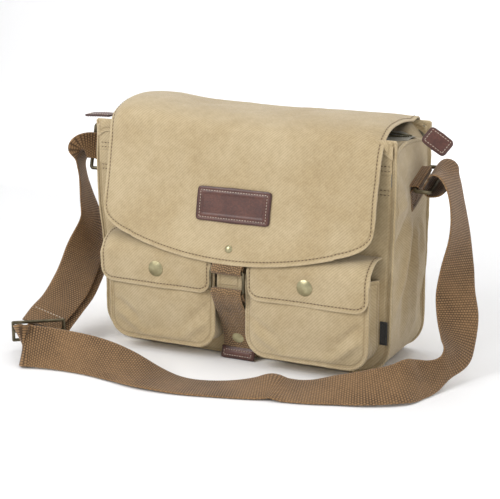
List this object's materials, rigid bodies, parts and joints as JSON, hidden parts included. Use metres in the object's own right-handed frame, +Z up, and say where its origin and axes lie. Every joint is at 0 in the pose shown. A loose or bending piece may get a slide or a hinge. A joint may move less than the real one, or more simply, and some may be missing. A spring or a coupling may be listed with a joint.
{
  "type": "messenger bag",
  "caption": "Canvas messenger bag with a folding flap, lidded bellows pockets, a webbing closure, a zipped top and an adjustable webbing shoulder strap.",
  "frame": {"origin": "middle of the underside of the base, which stands on the ground", "axes": "+Z up, the front with its flap and pockets faces -Y, +X to the right seen from the front"},
  "size_m": [0.5268, 0.2653, 0.2835],
  "materials": {
    "canvas": "washed cotton canvas",
    "lining": "woven lining",
    "zip_teeth": "antique",
    "antique_brass": "antique",
    "webbing": "ribbed cotton webbing",
    "leather": "polished",
    "label": "woven"
  },
  "bodies": {
    "bag": {"front_panel": "canvas", "back_panel": "canvas", "gusset_left": "canvas", "gusset_right": "canvas", "base_panel": "canvas", "lining": "lining", "piping_front": "canvas", "piping_back": "canvas", "pocket_panel": "canvas", "top_hem": "canvas", "flap_anchor": "canvas", "zip_tape_front": "lining", "zip_tape_back": "lining", "zip_teeth_front": "zip_teeth", "zip_teeth_back": "zip_teeth", "front_zip_tape": "lining", "front_zip_teeth": "zip_teeth", "pocket_face_left": "canvas", "pocket_face_right": "canvas", "pocket_bellows_left": "canvas", "pocket_bellows_right": "canvas", "pocket_piping_left": "canvas", "pocket_piping_right": "canvas", "lid_top_left": "canvas", "lid_top_right": "canvas", "lid_stud_left": "antique_brass", "lid_stud_right": "antique_brass", "closure_stud": "antique_brass", "side_label": "label", "side_tab_left": "webbing", "side_tab_right": "webbing", "shoulder_strap": "webbing", "tri_glide": "antique_brass"},
    "flap_upper": {"flap_top": "canvas"},
    "flap_lower": {"flap_front": "canvas", "leather_patch": "leather", "flap_rivet": "antique_brass", "closure_tab": "webbing"},
    "closure_link": {"closure_ring": "antique_brass"},
    "closure": {"closure_strap": "webbing", "closure_tip": "leather", "closure_cap": "antique_brass", "closure_socket": "antique_brass"},
    "pocket_lid_left": {"lid_left": "canvas", "lid_cap_left": "antique_brass", "lid_socket_left": "antique_brass"},
    "pocket_lid_right": {"lid_right": "canvas", "lid_cap_right": "antique_brass", "lid_socket_right": "antique_brass"},
    "slider": {"zip_slider": "antique_brass"},
    "pull": {"zip_pull": "antique_brass"},
    "front_slider": {"front_zip_slider": "antique_brass"},
    "front_pull": {"front_zip_pull": "antique_brass"},
    "side_ring_left": {"ring_left": "antique_brass"},
    "side_ring_right": {"ring_right": "antique_brass"},
    "end_tab_left": {"zip_end_left": "leather"},
    "end_tab_right": {"zip_end_right": "leather"}
  },
  "joints": [
    {"name": "flap_lift", "type": "hinge", "parent": "bag", "child": "flap_upper", "pos_m": [0, 0.0565, 0.273], "axis": [-1, 0, 0], "range_deg": [0, 200]},
    {"name": "flap_fold", "type": "hinge", "parent": "flap_upper", "child": "flap_lower", "pos_m": [0, -0.06, 0.268], "axis": [-1, 0, 0], "range_deg": [0, 90]},
    {"name": "closure_link_swing", "type": "hinge", "parent": "flap_lower", "child": "closure_link", "pos_m": [0.006, -0.097, 0.1115], "axis": [-1, 0, 0], "range_deg": [0, 40]},
    {"name": "closure_swing", "type": "hinge", "parent": "closure_link", "child": "closure", "pos_m": [0.006, -0.097, 0.088], "axis": [-1, 0, 0], "range_deg": [0, 100]},
    {"name": "pocket_lid_left_lift", "type": "hinge", "parent": "bag", "child": "pocket_lid_left", "pos_m": [-0.087, -0.0924, 0.117], "axis": [-1, 0, 0], "range_deg": [0, 100]},
    {"name": "pocket_lid_right_lift", "type": "hinge", "parent": "bag", "child": "pocket_lid_right", "pos_m": [0.099, -0.0924, 0.117], "axis": [-1, 0, 0], "range_deg": [0, 100]},
    {"name": "zip_slide", "type": "slide", "parent": "bag", "child": "slider", "axis": [-1, 0, 0], "range_m": [0, 0.032]},
    {"name": "zip_pull_lift", "type": "hinge", "parent": "slider", "child": "pull", "pos_m": [-0.1505, 0, 0.2656], "axis": [0, -1, 0], "range_deg": [0, 35]},
    {"name": "front_zip_slide", "type": "slide", "parent": "bag", "child": "front_slider", "axis": [-1, 0, 0], "range_m": [0, 0.24]},
    {"name": "front_zip_pull_lift", "type": "hinge", "parent": "front_slider", "child": "front_pull", "pos_m": [0.12, -0.0607, 0.219], "axis": [-1, 0, 0], "range_deg": [0, 12]},
    {"name": "ring_left_swing", "type": "hinge", "parent": "bag", "child": "side_ring_left", "pos_m": [-0.215, 0.01, 0.218], "axis": [0, 0.2588, 0.9659], "range_deg": [-8, 8]},
    {"name": "ring_right_swing", "type": "hinge", "parent": "bag", "child": "side_ring_right", "pos_m": [0.193, 0.013, 0.213], "axis": [0, 0.9397, 0.342], "range_deg": [-8, 8]},
    {"name": "end_tab_left_bend", "type": "hinge", "parent": "bag", "child": "end_tab_left", "pos_m": [-0.1964, 0, 0.2601], "axis": [0, 1, 0], "range_deg": [-5, 40]},
    {"name": "end_tab_right_bend", "type": "hinge", "parent": "bag", "child": "end_tab_right", "pos_m": [0.1964, 0, 0.2601], "axis": [0, -1, 0], "range_deg": [-5, 40]}
  ]
}
